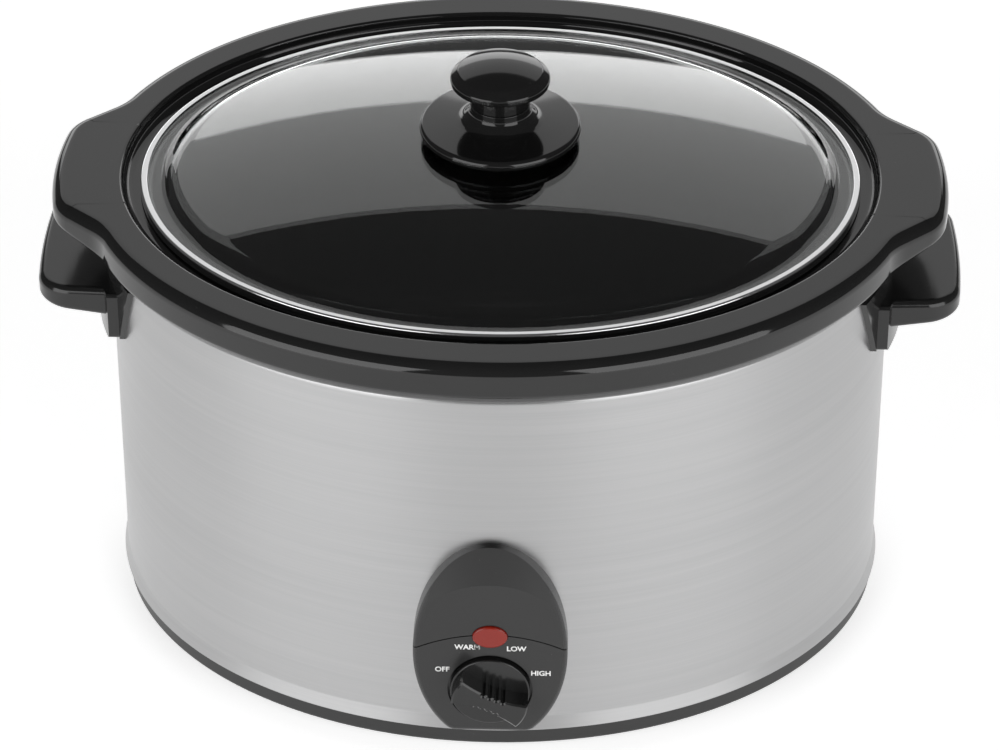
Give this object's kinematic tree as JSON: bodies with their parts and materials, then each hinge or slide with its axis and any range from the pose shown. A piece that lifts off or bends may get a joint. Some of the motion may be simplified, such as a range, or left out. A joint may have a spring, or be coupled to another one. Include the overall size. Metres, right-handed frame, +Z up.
{
  "type": "slow cooker",
  "caption": "Oval slow cooker with a brushed steel housing, lift-out black stoneware crock, domed glass lid with a knob, side handles and a front dial.",
  "frame": {"origin": "on the surface the feet stand on, under the middle of the whole object's bounding box", "axes": "+X to the right along the long oval axis, +Y to the back, +Z up; the control panel faces -Y"},
  "size_m": [0.398, 0.312, 0.2586],
  "materials": {
    "steel_shell": "horizontally brushed, satin",
    "steel_trim": "polished stainless steel",
    "black_base": "fine satin moulding",
    "feet_rubber": "matt",
    "liner_metal": "mill finish aluminised sheet",
    "heater_foil": "mica and woven glass wrap",
    "zinc_fastener": "zinc plated",
    "crock_glaze": null,
    "lid_glass": "clear tempered glass",
    "knob_plastic": "polished phenolic",
    "gasket_rubber": "silicone",
    "handle_plastic": "polished phenolic",
    "panel_plastic": "satin gloss",
    "dial_plastic": "gloss",
    "lens_red": "translucent red",
    "lamp_glass": "clear",
    "switch_plastic": "cream thermoset",
    "gland_plastic": "satin",
    "lead_sleeve": "braided glass sleeving",
    "fuse_metal": "plain"
  },
  "bodies": {
    "housing": {"outer_shell": "steel_shell", "base_tray": "black_base", "rubber_feet": "feet_rubber", "heating_liner": "liner_metal", "heat_shield": "liner_metal", "tie_bridge": "liner_metal", "heater_strap": "liner_metal", "fuse_clip": "liner_metal", "heating_band": "heater_foil", "strap_screw": "zinc_fastener", "tie_bolt": "zinc_fastener", "tie_nut": "zinc_fastener", "handle_screws": "zinc_fastener", "panel_screws": "zinc_fastener", "switch_nut": "zinc_fastener", "handle_left": "handle_plastic", "handle_right": "handle_plastic", "control_hood": "panel_plastic", "control_bezel": "panel_plastic", "indicator_lens": "lens_red", "indicator_lamp": "lamp_glass", "rotary_switch": "switch_plastic", "terminal_block": "switch_plastic", "cord_gland": "gland_plastic", "gland_nut": "gland_plastic", "internal_leads": "lead_sleeve", "thermal_fuse": "fuse_metal"},
    "crock": {"crock": "crock_glaze"},
    "lid": {"lid_glass": "lid_glass", "lid_band": "steel_trim", "knob_cap": "knob_plastic", "knob_flange": "knob_plastic", "knob_gasket": "gasket_rubber", "knob_washer": "zinc_fastener", "knob_screw": "zinc_fastener"},
    "dial": {"dial": "dial_plastic", "dial_shaft": "zinc_fastener"}
  },
  "joints": [
    {"name": "crock_lift", "type": "slide", "parent": "housing", "child": "crock", "axis": [0, 0, 1], "range_m": [0, 0.2]},
    {"name": "lid_lift", "type": "slide", "parent": "crock", "child": "lid", "axis": [0, 0, 1], "range_m": [0, 0.15]},
    {"name": "dial_turn", "type": "hinge", "parent": "housing", "child": "dial", "pos_m": [0, -0.14545, 0.0405], "axis": [0, 1, 0], "range_deg": [0, 130]}
  ]
}
